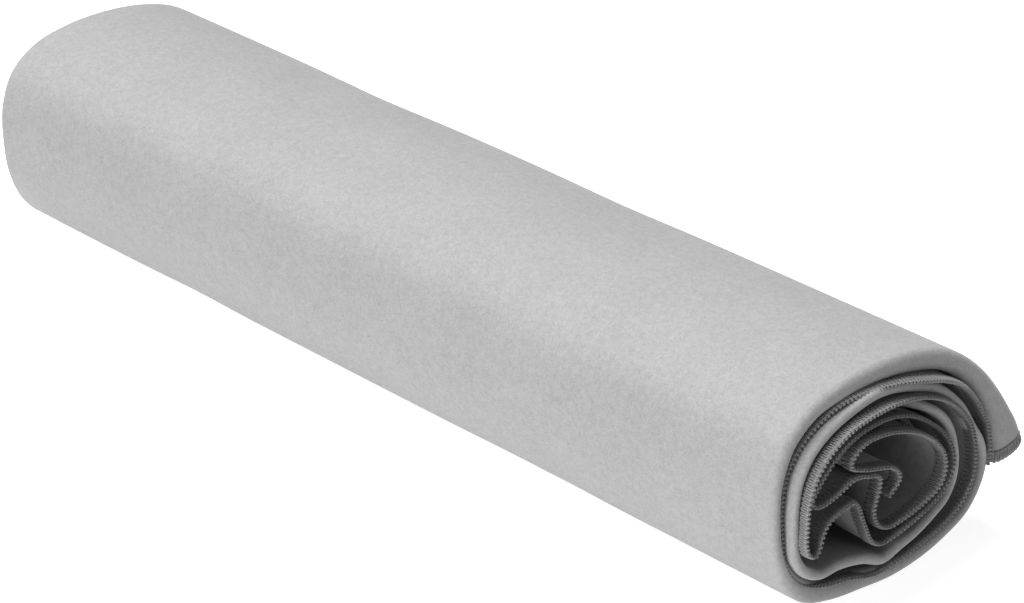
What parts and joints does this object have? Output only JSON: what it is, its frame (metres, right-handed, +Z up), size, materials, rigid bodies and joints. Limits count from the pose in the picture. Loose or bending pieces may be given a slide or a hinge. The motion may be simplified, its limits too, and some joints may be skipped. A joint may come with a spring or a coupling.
{
  "type": "quick dry towel",
  "caption": "Light grey microfibre travel towel, folded in thirds and rolled up, with overlocked hems and a loose outer end that peels back.",
  "frame": {"origin": "under the middle of the roll and its free end, on the surface that it lies on", "axes": "X along the roll, with the end that shows the open hem at +X; Z up; the free end hangs at +Y"},
  "size_m": [0.4418, 0.1194, 0.0845],
  "materials": {
    "cloth": "matte brushed microfibre",
    "thread": "matte textured polyester thread"
  },
  "bodies": {
    "roll": {"cloth_roll": "cloth", "near_hem_needle_thread": "thread", "near_hem_upper_looper_thread": "thread", "near_hem_lower_looper_thread": "thread", "far_hem_needle_thread": "thread", "far_hem_upper_looper_thread": "thread", "far_hem_lower_looper_thread": "thread", "inner_end_hem_needle_thread": "thread", "inner_end_hem_upper_looper_thread": "thread", "inner_end_hem_lower_looper_thread": "thread"},
    "free_end": {"cloth_free_end": "cloth", "near_hem_needle_thread_free_end": "thread", "near_hem_upper_looper_thread_free_end": "thread", "near_hem_lower_looper_thread_free_end": "thread", "far_hem_needle_thread_free_end": "thread", "far_hem_upper_looper_thread_free_end": "thread", "far_hem_lower_looper_thread_free_end": "thread", "outer_end_hem_needle_thread": "thread", "outer_end_hem_upper_looper_thread": "thread", "outer_end_hem_lower_looper_thread": "thread"}
  },
  "joints": [
    {"name": "free_end_lift", "type": "hinge", "parent": "roll", "child": "free_end", "pos_m": [0, 0.0425, 0.0627], "axis": [1, 0, 0], "range_deg": [0, 90]}
  ]
}
